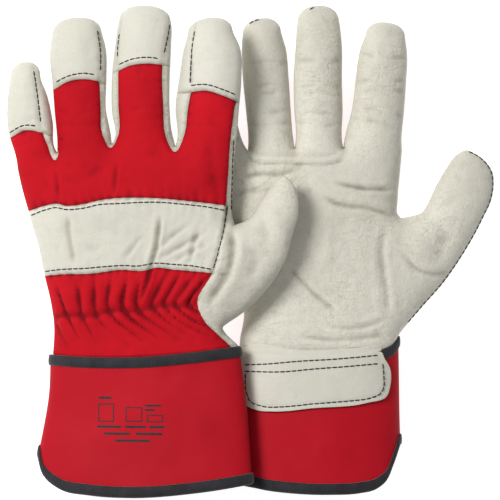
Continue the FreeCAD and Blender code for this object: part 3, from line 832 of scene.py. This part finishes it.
class CuffShape:
    """The outer surface of a cuff, a flattened tube, by how far round it and how far down it."""

    def __init__(self, glove):
        self.cuff = glove.cuff
        self.seed = 31 if glove.side == "left" else 47
        self.sides = [smooth(line)[::-1] for line in (self.cuff.left, self.cuff.right)]
        self.ends = {"top": smooth(self.cuff.top), "hem": smooth(self.cuff.hem)}

    def edges(self, y):
        return [np.interp(y, side[:, 1], side[:, 0]) for side in self.sides]

    def ripple(self, x, y):
        """The soft hollows and swells of the canvas."""
        plan = np.stack([x, y], axis=-1).reshape(-1, 2)
        out = 0.9 * wander(plan, 42.0, self.seed, 2) + 0.25 * wander(plan, 14.0, self.seed + 1, 2)
        for cx, cy, wide, deep in self.cuff.dimples:
            out -= deep * np.exp(-(((plan[:, 0] - cx) / wide) ** 2) - ((plan[:, 1] - cy) / wide / 1.4) ** 2)
        return out.reshape(np.shape(x))

    def rise(self, x, y):
        """Height of the upper wall over the cuff's middle, and its steepness across."""
        left, right = self.edges(y)
        half_wide = (right - left) / 2
        c = np.clip((x - left) / half_wide - 1, -0.9999, 0.9999)
        n = self.cuff.square
        bulge = (1 - np.abs(c) ** n) ** (1 / n)
        steep = np.sign(c) * np.abs(c) ** (n - 1) / half_wide * self.cuff.half
        steep = steep / np.maximum(bulge, 0.02) ** (n - 1)
        return bulge * self.cuff.half + bulge * self.ripple(x, y), steep

    def on(self, x, y, up=1.0, out=0.0):
        """The point out from the wall above or below a place in plan."""
        rise, steep = self.rise(x, y)
        lean = self.cuff.mid(x + 1.0, y) - self.cuff.mid(x, y)
        z = self.cuff.mid(x, y) + up * rise
        normal = np.stack([steep - up * lean, np.zeros_like(x), up * np.ones_like(x)], axis=-1)
        normal /= np.linalg.norm(normal, axis=-1, keepdims=True)
        return np.stack([x, y, z], axis=-1) + normal * np.asarray(out)[..., None], normal

    def at(self, y, turn, out=0.0):
        """The point a turn round from the left edge, going over the top."""
        left, right = self.edges(y)
        x = left + (right - left) * (1 - np.cos(turn)) / 2
        return self.on(x, y, np.where(np.sin(turn) >= 0, 1.0, -1.0), out)[0]

    def end(self, which, turn):
        """How far up the cuff's top or hem is at each turn."""
        line = self.ends[which]
        order = np.argsort(line[:, 0])
        y = np.full(np.shape(turn), line[:, 1].mean())
        for _ in range(12):
            left, right = self.edges(y)
            x = left + (right - left) * (1 - np.cos(turn)) / 2
            y = 0.4 * y + 0.6 * np.interp(x, line[order, 0], line[order, 1])
        return y


def ring_mesh(loops):
    """Quads through closed loops of equal count, joined end to end into a closed tube."""
    rows, count = len(loops), len(loops[0])
    quads = []
    for i in range(rows):
        for k in range(count):
            a, b = i * count, (i + 1) % rows * count
            quads.append((a + k, a + (k + 1) % count, b + (k + 1) % count, b + k))
    return np.vstack(loops), quads


def cuff_pieces(glove, shape):
    """The cuff's wall and the two tapes that bind it."""
    side, hand = glove.side, f"{glove.side}_hand"
    turns = np.linspace(0, 2 * math.pi, CUFF_AROUND, endpoint=False)
    top, hem = shape.end("top", turns), shape.end("hem", turns)
    down = np.linspace(0, 1, CUFF_DOWN)
    outer = [shape.at(top + (hem - top) * d, turns) for d in down]
    inner = [shape.at(top + (hem - top) * d, turns, -WALL) for d in down[::-1]]
    pieces = {f"{side}_cuff": (outer + inner, CANVAS, "cuff_canvas")}
    for name, base, profile in (("top", top, TAPE_OVER_SEAM), ("hem", hem, TAPE_OVER_HEM)):
        loops = [shape.at(base + along, turns, out) for along, out in profile]
        pieces[f"{side}_cuff_{name}_tape"] = (loops, TAPE, "black_tape")
    for node, (loops, material, slot) in pieces.items():
        obj = add_object(node, *ring_mesh(loops), material, slot)
        fix_facing(obj)
        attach(obj, hand)
        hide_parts(node)


def fix_facing(obj):
    """Turns the faces of a closed mesh outwards."""
    mesh = bmesh.new()
    mesh.from_mesh(obj.data)
    bmesh.ops.recalc_face_normals(mesh, faces=mesh.faces)
    mesh.to_mesh(obj.data)
    mesh.free()


PATCH_LIFT = 2.3      # how far a pull patch stands out from the cuff's wall


def pull_patch(glove, shape):
    """The leather patch sewn over the palm side of the cuff, lower at its top edge and along its seam."""
    up = -1.0 if glove.back_up else 1.0
    outline = smooth(glove.patch, closed=True)
    flat, faces, _ = triangulate(outline, np.zeros((0, 2)), [])
    gap, _, _ = near_line(flat, np.vstack([outline, outline[:1]]))
    lift = PATCH_LIFT - 0.5 * np.exp(-gap / 1.2)
    lift -= 1.8 * np.clip((flat[:, 1] + 58.5) / 4.0, 0, 1)
    lift += 0.15 * wander(flat, 9.0, 5) - 0.35 * bell(gap - 2.5, 0.9)
    verts, _ = shape.on(flat[:, 0], flat[:, 1], up, lift)
    faces = faces if up > 0 else faces[:, ::-1]
    name = f"{glove.side}_pull_patch"
    obj = skin_piece(name, verts, vertex_normals(verts, faces), faces, LEATHER, "leather")
    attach(obj, f"{glove.side}_hand")
    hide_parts(name)
    return verts, faces


# ---- thread
class Surface:
    """Places and normals on a surface seen from above or from below."""

    def __init__(self, verts, faces, up):
        self.tree = BVHTree.FromPolygons([tuple(v) for v in verts], whole(faces))
        self.up = up

    def at(self, x, y):
        start, down = Vector((x, y, 200.0 * self.up)), Vector((0.0, 0.0, -self.up))
        place, normal, _, _ = self.tree.ray_cast(start, down)
        if place is None:
            return None
        return np.array(place), np.array(normal if normal.z * self.up > 0 else -normal)


# The rings of one stitch: how far along it, how high over the cloth in mm, and how fat.
STITCH_RINGS = [(0.0, -0.2, 0.6), (0.2, 0.14, 1.0), (0.5, 0.24, 1.0), (0.8, 0.14, 1.0), (1.0, -0.2, 0.6)]


def thread_mesh(surface, runs, stitch=3.0, gap=0.25, radius=0.34):
    """Stitches along lines in plan.  Each dips into the cloth at both of its ends."""
    verts, faces = [], []
    sides = 6
    for run in runs:
        line = smooth(run, 0.1)
        at, along = 0, 0.1
        step = int((stitch + gap) / along)
        while at + int(stitch / along) < len(line):
            places = [surface.at(*line[at + int(stitch / along * t)]) for t, _, _ in STITCH_RINGS]
            at += step
            if any(found is None for found in places):
                continue
            spots = np.array([found[0] for found in places])
            forward = spots[-1] - spots[0]
            forward /= np.linalg.norm(forward)
            first = len(verts)
            for (spot, normal), (_, lift, fat) in zip(places, STITCH_RINGS):
                side = np.cross(forward, normal)
                for k in range(sides):
                    angle = 2 * math.pi * k / sides
                    up = lift + math.sin(angle) * radius * fat
                    verts.append(spot + normal * up + side * math.cos(angle) * radius * fat)
            last = first + (len(STITCH_RINGS) - 1) * sides
            for a in range(first, last, sides):
                for k in range(sides):
                    after = (k + 1) % sides
                    faces.append((a + k, a + after, a + sides + after, a + sides + k))
            faces.append(tuple(range(first + sides - 1, first - 1, -1)))
            faces.append(tuple(range(last, last + sides)))
    return verts, faces


def sew(name, surface, runs):
    obj = add_object(name, *thread_mesh(surface, runs), THREAD, "black_thread")
    fix_facing(obj)
    return obj


# ---- one glove's skin
def seam_lines(glove):
    """Every panel edge in plan, by name.  A split is where a digit meets the hand."""
    lines = {
        "strap_top": smooth(glove.strap_top),
        "strap_bottom": smooth(glove.strap_bottom),
        "wrist_edge": smooth(glove.wrist_edge),
        "side_seam": smooth(glove.side_seam),
        "thumb_split": smooth(glove.thumb_split),
    }
    fingers = {name: Finger(digit) for name, digit in glove.digits.items()}
    for name, finger in fingers.items():
        lines[f"{name}_split"] = resample(finger.base_line(), STEP)
        lines[f"{name}_cap"] = smooth(finger.digit.cap)
    for name, web in zip(fingers, glove.webs):
        lines[f"{name}_web"] = smooth(run_on(web))
    return lines, fingers


def build_skin(glove):
    """Triangles, seam lines and panels of a glove's hand and digits, in plan."""
    edge, opening = glove_outline(glove)
    lines, fingers = seam_lines(glove)
    names = list(lines)
    points, faces, along = triangulate(edge, opening, [lines[n] for n in names])
    line_edges = {name: along[i + 1] for i, name in enumerate(names)}
    rim = {i for pair in along[0] for i in pair}
    first, last = edge[0], edge[-1]
    direction = (last - first) / np.linalg.norm(last - first)
    normal = np.array([-direction[1], direction[0]])
    open_edge = {i for i in rim if abs((points[i] - first) @ normal) < 0.05}
    corners = {i for i in open_edge if min(math.dist(points[i], first), math.dist(points[i], last)) < 0.3}
    closed = rim - (open_edge - corners)
    splits = set().union(*(e for n, e in line_edges.items() if n.endswith("_split")))
    seams = set().union(*(e for n, e in line_edges.items() if not n.endswith("_split")))
    digit = name_regions(points, faces, splits, digit_seeds(glove, fingers))
    kind = name_regions(points, faces, seams, kind_seeds(glove, fingers))
    palm = np.array(["palm" if d == "hand" else f"{d}_front" for d in digit])
    back = np.array([back_panel(k, d) for k, d in zip(kind, digit)])
    return points, faces, lines, fingers, closed, back, palm


def digit_seeds(glove, fingers):
    seeds = [("hand", fingers["middle"].place(-25.0, 0.0))]
    seeds += [("thumb", p) for p in glove.seeds["thumb"]]
    return seeds + [(name, finger.place(20.0, 0.0)) for name, finger in fingers.items()]


def kind_seeds(glove, fingers):
    seeds = [(kind, p) for kind in ("knuckle_strap", "wrist_panel") for p in glove.seeds[kind]]
    seeds += [("leather", p) for p in glove.seeds["palm"]]
    seeds += [("leather", (x, y - 1.6)) for x, y in glove.crotches[1:4]]
    seeds.append(("cotton", fingers["middle"].place(-14.0, 0.0)))
    return seeds + [("cap", finger.place(finger.length - 7.0, 0.0)) for finger in fingers.values()]


def back_panel(kind, digit):
    """The panel on the back that is this kind of cloth on this digit."""
    if kind == "cotton":
        return "back_panel" if digit in ("hand", "thumb") else f"{digit}_back"
    if kind == "cap":
        return f"{digit}_tip_cap"
    if kind == "leather":
        return {"hand": "palm", "thumb": "thumb_back"}.get(digit, f"{digit}_gusset")
    return kind


def name_regions(points, faces, barriers, seeds):
    """The panel name of each triangle.  A patch with no seed takes the panel it shares most edge with."""
    label = regions(faces, barriers)
    middle = points[faces].mean(axis=1)
    names = {}
    for name, place in seeds:
        found = label[np.argmin(np.linalg.norm(middle - np.array(place), axis=1))]
        names.setdefault(found, name)
    touching = {}
    for f, tri in enumerate(faces):
        for k in range(3):
            touching.setdefault(tuple(sorted((int(tri[k]), int(tri[(k + 1) % 3])))), []).append(label[f])
    while True:
        shared = {}
        for pair in touching.values():
            if len(pair) == 2 and (pair[0] in names) != (pair[1] in names):
                known, lost = pair if pair[0] in names else pair[::-1]
                shared.setdefault(lost, {}).setdefault(names[known], 0)
                shared[lost][names[known]] += 1
        if not shared:
            break
        for lost, options in shared.items():
            names[lost] = max(sorted(options), key=options.get)
    return np.array([names[found] for found in label])


def near_line(points, line, reach=12.0):
    """Distance from each point to a line and how far along the line it is, for points within reach."""
    dense = resample(line, 0.4)
    distance = np.full(len(points), 1e3)
    arc = np.zeros(len(points))
    low, high = dense.min(axis=0) - reach, dense.max(axis=0) + reach
    close = np.nonzero(((points[:, :2] > low) & (points[:, :2] < high)).all(axis=1))[0]
    tree = tree_of(dense)
    for i in close:
        _, index, gap = tree.find((points[i][0], points[i][1], 0.0))
        distance[i], arc[i] = gap, index * 0.4
    return distance, arc, (len(dense) - 1) * 0.4


def fade_ends(arc, length, run=8.0):
    return np.clip(arc / run, 0, 1) * np.clip((length - arc) / run, 0, 1)


SEAM_DEPTH, SEAM_WIDTH = 0.6, 0.9    # the groove along a seam
STRAP_PUCKER, SEAM_PUCKER = 0.3, 0.1  # height of the ripples beside the strap's seams and the others
PUCKER_LENGTH = 5.3                  # from one ripple to the next
WELT_HEIGHT, WELT_WIDTH = 0.9, 1.7   # the raised seam at the root of the right glove's fingers
FINGER_FOLDS = (8.0, 15.0, 26.0, 31.0, 44.0)   # how far up a finger each fold across it is
BACK_FOLD, PALM_FOLD = 0.15, 0.5     # depth of those folds on each side of a finger


def relief(glove, is_back, plan, lines, fingers, panels_at):
    """Folds, seams and puckers of one side, outwards along the surface."""
    seed = (3 if is_back else 7) + (11 if glove.side == "left" else 0)
    out = 0.5 * wander(plan, 24.0, seed) + 0.22 * wander(plan, 8.0, seed + 1)
    out += 0.1 * wander(plan, 4.0, seed + 2, 2)
    seams = []
    if is_back:
        seams = ["strap_top", "strap_bottom", "side_seam", "wrist_edge"]
        seams += [n for n in lines if n.endswith(("_web", "_cap"))]
    for name in seams:
        gap, arc, _ = near_line(plan, lines[name])
        pucker = STRAP_PUCKER if name.startswith("strap") else SEAM_PUCKER
        turn = arc * 2 * math.pi / PUCKER_LENGTH + 1.7 * np.sin(arc / 7.1)
        out -= SEAM_DEPTH * bell(gap, SEAM_WIDTH)
        out += pucker * np.sin(turn) * np.exp(-gap / 4.5)
    if is_back == glove.back_up:
        for points, depth, width in glove.creases:
            gap, arc, length = near_line(plan, smooth(points))
            out -= depth * fade_ends(arc, length) * bell(gap, width)
            out += 0.4 * depth * fade_ends(arc, length) * bell(gap - 2.0 * width, width)
    if not is_back and not glove.back_up:
        gap, arc, length = near_line(plan, smooth(WELT))
        out += WELT_HEIGHT * fade_ends(arc, length, 2.0) * bell(gap, WELT_WIDTH, 4)
        gap, _, _ = near_line(plan, smooth([(x, y - 2.3) for x, y in WELT]))
        out -= SEAM_DEPTH * bell(gap, 0.8)
    for k, finger in enumerate(fingers.values()):
        for j, s in enumerate(FINGER_FOLDS):
            if s < finger.length - 14.0:
                rise, drop = 2.5 * math.sin(k + j), 2.2 * math.cos(k * 2 + j)
                across = [finger.place(s + rise, -finger.half(s)), finger.place(s, 0.0),
                          finger.place(s - drop, finger.half(s))]
                gap, arc, _ = near_line(plan, smooth(across))
                depth = BACK_FOLD if is_back else PALM_FOLD
                out -= depth * bell(gap, 1.5) * (0.6 + 0.4 * np.sin(arc / 3.0 + k + j))
    if is_back:
        out += gathers(glove, plan) * (panels_at == "wrist_panel")
    return out


def hand_sides(glove, y):
    """Where the back of the hand starts and ends across, at each distance up it."""
    left = np.array(sorted((p[1], p[0]) for p in glove.hand_edge))
    right = np.array(sorted((p[1], p[0]) for p in glove.wrist_edge + glove.side_seam[:-2]))
    return np.interp(y, *left.T), np.interp(y, *right.T)


GATHERS = 10.5        # folds across the wrist
GATHER_DEPTH = 4.2    # from the top to the bottom of a fold
GATHER_ABOVE = 15.0   # how far the folds run from the elastic towards the fingers
GATHER_BELOW = 11.0   # and towards the cuff
ELASTIC_GROOVE = 1.3  # how far the elastic pulls the cloth in


def gathers(glove, plan):
    """Folds that run out from the elastic across the back of the wrist."""
    x, y = plan[:, 0], plan[:, 1]
    left, right = hand_sides(glove, y)
    across = (x - left) / np.maximum(right - left, 1.0)
    elastic = -37.5 + 8.0 * across + 0.8 * np.sin(across * 19.0)
    above, below = np.clip(y - elastic, 0, None), np.clip(elastic - y, 0, None)
    fade = np.where(y > elastic, bell(above, GATHER_ABOVE, 4), bell(below, GATHER_BELOW))
    lean = np.where(y > elastic, 0.1 - 0.45 * across, 0.3 + 0.7 * across)
    turn = GATHERS * (across + lean * (y - elastic) / 85.0)
    turn += 0.5 * wander(np.stack([across * 30.0, y * 0.12], axis=1), 5.0, 5, 1)
    uneven = 0.65 + 0.8 * wander(np.stack([across * 40.0, y * 0.1], axis=1), 6.0, 9, 1)
    fold = (np.abs(np.sin(math.pi * turn)) ** 0.6 - 0.7) * GATHER_DEPTH * np.clip(uneven, 0.3, 1.3)
    band = -ELASTIC_GROOVE * bell(y - elastic, 2.2)
    return fade * fold * (1 - 0.6 * bell(y - elastic, 1.6)) + band


RAISED = ("knuckle_strap", "tip_cap", "gusset")


BEND_START = 0.6      # where along a finger its bend starts
BEND_END = 14.0       # and where it ends
THUMB_BEND = 13.0     # length of the thumb's bend


def blend_points(glove, name, fingers):
    """Where a digit's piece starts and finishes turning away from the hand."""
    if name == "thumb":
        line = smooth(glove.thumb_split)
        middle = line[len(line) // 2]
        along = line[-6] - line[6]
        out = np.array([-along[1], along[0]]) / np.linalg.norm(along)
        start = middle + out * (max((line - middle) @ out) + 0.3)
        end = start + out * THUMB_BEND
        z = float(glove.mid(*middle))
    else:
        start = fingers[name].place(BEND_START, 0.0)
        end = fingers[name].place(BEND_END, 0.0)
        z = float(glove.mid(*start))
    return [(*(p * MM), z * MM) for p in (start, end)]


TUCK_NARROWING = 0.03  # share of its width that the hand loses inside the cuff
TUCK_GAP = 2.6         # how far inside the cuff's outer surface the hand lies there


def tuck(glove, plan, middle, rise, height):
    """Narrows and flattens the hand where it goes into the cuff, to lie inside the cuff's wall."""
    x, y = plan[:, 0].copy(), plan[:, 1]
    line = smooth(glove.cuff.top)
    order = np.argsort(line[:, 0])
    edge = np.interp(x, line[order, 0], line[order, 1])
    deep = ramp_up(-y, -edge - 1.5, 2.5)
    deep = deep * deep * (3 - 2 * deep)
    centre = (glove.cuff.left[0][0] + glove.cuff.right[0][0]) / 2
    x += (centre - x) * TUCK_NARROWING * deep
    middle = middle + deep * (glove.cuff.mid(x, y) - middle)
    rise = rise * (1 - deep) + deep * (glove.cuff.half - TUCK_GAP) * height
    return x, middle, rise, deep


def raise_panels(push, faces, names):
    """Lifts the panels that are sewn on top of others, up to their edges."""
    for panel in sorted(set(names)):
        if panel.endswith(RAISED):
            mine = np.unique(faces[names == panel])
            others = np.unique(faces[names != panel])
            push[np.setdiff1d(mine, others)] += RISE


def make_glove(glove):
    """Makes and joins every panel of a glove.  Returns its upper and under surfaces and its fingers."""
    points, faces, lines, fingers, closed, back, palm = build_skin(glove)
    n = len(points)
    height = inflate(points, faces, closed)
    closed_at = np.zeros(n, bool)
    closed_at[list(closed)] = True
    x, y = points.T
    x, mid, rise, deep = tuck(glove, points, glove.mid(x, y), glove.thickness(x, y) * height, height)
    body = np.vstack([np.column_stack([x, y, mid + rise]), np.column_stack([x, y, mid - rise])])

    # The two sides share the points of the closed edge, so that they meet there.
    lower = np.where(closed_at, np.arange(n), np.arange(n) + n)
    panels = [back, palm] if glove.back_up else [palm, back]
    triangles = [faces, lower[faces[:, ::-1]]]
    skin = np.vstack(triangles)
    pushes = []
    for names in panels:
        panels_at = np.full(n, "palm", dtype="<U24")
        for k in range(3):
            panels_at[faces[:, k]] = names
        push = relief(glove, names is back, points, lines, fingers, panels_at)
        raise_panels(push, faces, names)
        pushes.append(push * np.clip(height / 0.35, 0, 1) * (1 - deep))
    # Painted shade: how deep each point lies in a fold, which the materials darken.
    crease = np.concatenate([np.where(closed_at, 0.0, valleys(push, faces)) for push in pushes])
    normals = vertex_normals(body, skin)
    for half, push in enumerate(pushes):
        index = np.arange(n) + half * n
        moved = np.where(closed_at, 0.0, push)
        body[index] += normals[index if half == 0 else lower] * moved[:, None]
    normals = vertex_normals(body, skin)
    normals[n:][closed_at] = normals[:n][closed_at]

    by_panel = {}
    for names, tri in zip(panels, triangles):
        for panel in sorted(set(names)):
            by_panel.setdefault(panel, []).append(tri[names == panel])
    for panel, parts in sorted(by_panel.items()):
        name = f"{glove.side}_{panel}"
        obj = skin_piece(name, body, normals, np.vstack(parts), *cloth_of(panel), crease=crease)
        join_to_body(obj, glove, panel.split("_")[0], fingers)
        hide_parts(name)
    return Surface(body, triangles[0], 1.0), Surface(body, triangles[1], -1.0), fingers


def cloth_of(panel):
    """The material and slot of a panel."""
    thumb = panel.startswith("thumb")
    if panel in ("back_panel", "wrist_panel") or (panel.endswith("_back") and not thumb):
        return COTTON, "red_cotton"
    if panel == "palm" or panel.endswith("_front") or thumb:
        return PALM_LEATHER, "leather"
    return LEATHER, "leather"


def join_to_body(obj, glove, part, fingers):
    """Bakes a digit's piece in place, and fixes any other piece to the hand."""
    hand = f"{glove.side}_hand"
    if part in fingers or part == "thumb":
        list(blend_points(glove, part, fingers))
        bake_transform(obj)
    else:
        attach(obj, hand)


def sew_glove(glove, upper, fingers, patch_surface):
    """Every line of thread that shows."""
    for part, runs in STITCHES[glove.side].items():
        join_to_body(sew(f"{glove.side}_{part}_stitches", upper, runs), glove, part, fingers)
    obj = sew(f"{glove.side}_seam_thread", patch_surface, PATCH_STITCHES[glove.side])
    join_to_body(obj, glove, "hand", fingers)
    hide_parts(f"{glove.side}_seam_thread")


SHEET_STEP = 2.5      # spacing of a sheet's rows
SHEET_COLUMNS = 30    # points across a sheet


def inner_sheet(name, glove, surface, rows, span, depth, thickness, material, slot):
    """A sheet sewn inside the hand, at some depth below a side's surface."""
    down = np.linspace(*rows, int((rows[1] - rows[0]) / SHEET_STEP) + 2)
    over = np.linspace(*span, SHEET_COLUMNS)
    verts = []
    for y in down:
        left, right = hand_sides(glove, y)
        for x in left + (right - left) * over:
            place, _ = surface.at(x, y)
            verts.append((x, y, place[2] - surface.up * depth))
    verts, faces = np.array(verts), np.array(grid_faces(len(down), len(over)))
    if surface.up < 0:
        faces = faces[:, ::-1]
    obj = skin_piece(name, verts, vertex_normals(verts, faces), faces, material, slot, thickness)
    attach(obj, f"{glove.side}_hand")
    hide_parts(name)


def spaced(low, high, step):
    """Evenly spaced values from low to high, about a step apart."""
    return np.linspace(low, high, max(2, int((high - low) / step) + 1))


def print_marks(glove, shape):
    """Flat printed bars and empty boxes on the cuff."""
    bars = list(PRINT)
    thin = PRINT_LINE
    for left, bottom, right, top in PRINT_BOXES:
        bars += [(left, bottom, right, bottom + thin), (left, top - thin, right, top)]
        bars += [(x, bottom + thin, x + thin, top - thin) for x in (left, right - thin)]
    verts, faces = [], []
    for left, bottom, right, top in bars:
        xs, ys = spaced(left, right, PRINT_GRID), spaced(bottom, top, PRINT_GRID)
        grid_x, grid_y = np.meshgrid(xs, ys)
        faces += grid_faces(len(ys), len(xs), len(verts))
        verts += list(shape.on(grid_x.ravel(), grid_y.ravel(), 1.0, 0.12)[0])
    verts, faces = np.array(verts), np.array(faces)
    name = f"{glove.side}_cuff_print"
    obj = skin_piece(name, verts, vertex_normals(verts, faces), faces, THREAD, "black_thread", 0.1)
    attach(obj, f"{glove.side}_hand")


# Sheets inside the hand: name, side, first and last row, span across, depth, thickness and cloth.
SHEETS = [
    ("palm_lining", "palm", (-56.0, 42.0), (0.1, 0.9), 2.0, 0.6, LINING, "lining_cotton"),
    ("wrist_elastic", "back", (-38.0, -31.0), (0.08, 0.92), 3.0, 0.8, ELASTIC, "elastic"),
]


def main():
    for glove in (LEFT, RIGHT):
        upper, under, fingers = make_glove(glove)
        surfaces = {"palm": under, "back": upper} if glove.back_up else {"palm": upper, "back": under}
        shape = CuffShape(glove)
        cuff_pieces(glove, shape)
        patch = Surface(*pull_patch(glove, shape), surfaces["palm"].up)
        sew_glove(glove, upper, fingers, patch)
        for name, side, *sizes in SHEETS:
            inner_sheet(f"{glove.side}_{name}", glove, surfaces[side], *sizes)
        if glove.back_up:
            print_marks(glove, shape)


# Name, place in metres, power in watts and size in metres of each light.
LIGHTS = [
    ("key", (-1.2, 0.75, 1.6), 45.0, 0.8),
    ("fill", (1.2, 0.4, 1.8), 4.0, 1.6),
    ("low", (-0.4, -1.4, 1.4), 5.0, 1.4),
]
CAMERA_HEIGHT = 2.015  # metres over the surface that the gloves lie on
CAMERA_LENS = 260.0


def scenery():
    """Floor, soft lights and the camera above."""
    bpy.ops.mesh.primitive_plane_add(size=6.0, location=(0.0, 0.0, -0.0003))
    floor = bpy.context.object
    floor.name = "floor"
    paint = Paint("floor", 0.9)
    shade = paint.mottle(400.0, 2.0, (0.60, 0.60, 0.60), (0.63, 0.63, 0.63))
    floor.data.materials.append(paint.finish(shade))
    paint.links.new(shade, paint.shader.inputs["Emission Color"])
    paint.shader.inputs["Emission Strength"].default_value = 1.3
    for name, place, power, size in LIGHTS:
        data = bpy.data.lights.new(name, "AREA")
        data.energy = power
        data.size = size
        lamp = bpy.data.objects.new(name, data)
        lamp.location = place
        lamp.rotation_euler = (-Vector(place)).to_track_quat("-Z", "Y").to_euler()
        bpy.context.scene.collection.objects.link(lamp)
    world = bpy.data.worlds.new("world")
    world.use_nodes = True
    sky = world.node_tree.nodes["Background"]
    sky.inputs["Color"].default_value = (0.95, 0.97, 1.0, 1.0)
    sky.inputs["Strength"].default_value = 0.32
    bpy.context.scene.world = world
    data = bpy.data.cameras.new("camera")
    data.lens = CAMERA_LENS
    data.clip_end = 20.0
    camera = bpy.data.objects.new("camera", data)
    camera.location = (0.0, 0.0, CAMERA_HEIGHT)
    bpy.context.scene.collection.objects.link(camera)
    bpy.context.scene.camera = camera
    bpy.context.scene.view_settings.view_transform = "Standard"


main()
for old in ("Cube", "Light", "Camera"):
    if old in bpy.data.objects:
        bpy.data.objects.remove(bpy.data.objects[old])
scenery()
